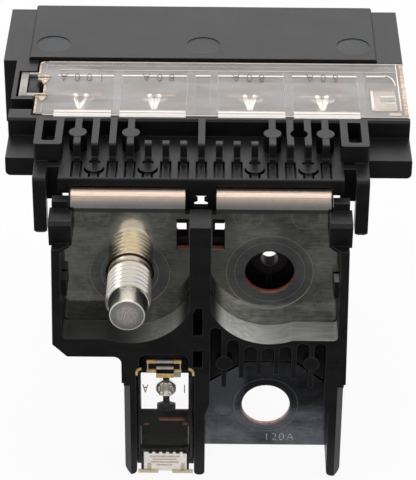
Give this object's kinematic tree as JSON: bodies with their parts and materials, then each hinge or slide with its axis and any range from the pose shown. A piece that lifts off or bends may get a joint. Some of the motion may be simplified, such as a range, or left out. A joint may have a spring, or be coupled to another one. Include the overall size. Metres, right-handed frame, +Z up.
{
  "type": "battery fuse block",
  "caption": "Battery-mounted fusible link block with a folded bus bar, an M8 stud, a battery bolt hole, clear-covered links and rear sockets",
  "frame": {"origin": "centre of the bounding box", "axes": "+X right, +Y back, +Z up; the plate with the stud faces -Y and the connector block's top faces +Z"},
  "size_m": [0.0742, 0.0736, 0.0622],
  "materials": {
    "black_nylon": "moulded, fine matte texture",
    "tinned_copper": "tin-plated copper alloy sheet, half bright",
    "plated_steel": "zinc-plated steel with a faint yellow tint",
    "link_copper": "stamped copper alloy, half bright",
    "bright_tin": "cast tin, bright",
    "clear_plastic": "clear moulded plastic"
  },
  "bodies": {
    "root": {"upper_housing": "black_nylon", "lower_frame": "black_nylon", "bus_bar": "tinned_copper", "alternator_plate": "tinned_copper", "terminal_blade_1": "tinned_copper", "terminal_blade_2": "tinned_copper", "terminal_blade_3": "tinned_copper", "terminal_blade_4": "tinned_copper", "stud_bolt": "plated_steel", "link_100a": "link_copper", "link_80a_left": "link_copper", "link_80a_right": "link_copper", "link_60a": "link_copper", "link_120a": "link_copper", "tin_bead_100a": "bright_tin", "tin_bead_80a_left": "bright_tin", "tin_bead_80a_right": "bright_tin", "tin_bead_60a": "bright_tin", "tin_bead_120a": "bright_tin", "upper_clear_cover": "clear_plastic", "upper_underside_cover": "clear_plastic", "lower_clear_cover": "clear_plastic", "lower_rear_cover": "clear_plastic"}
  },
  "joints": []
}
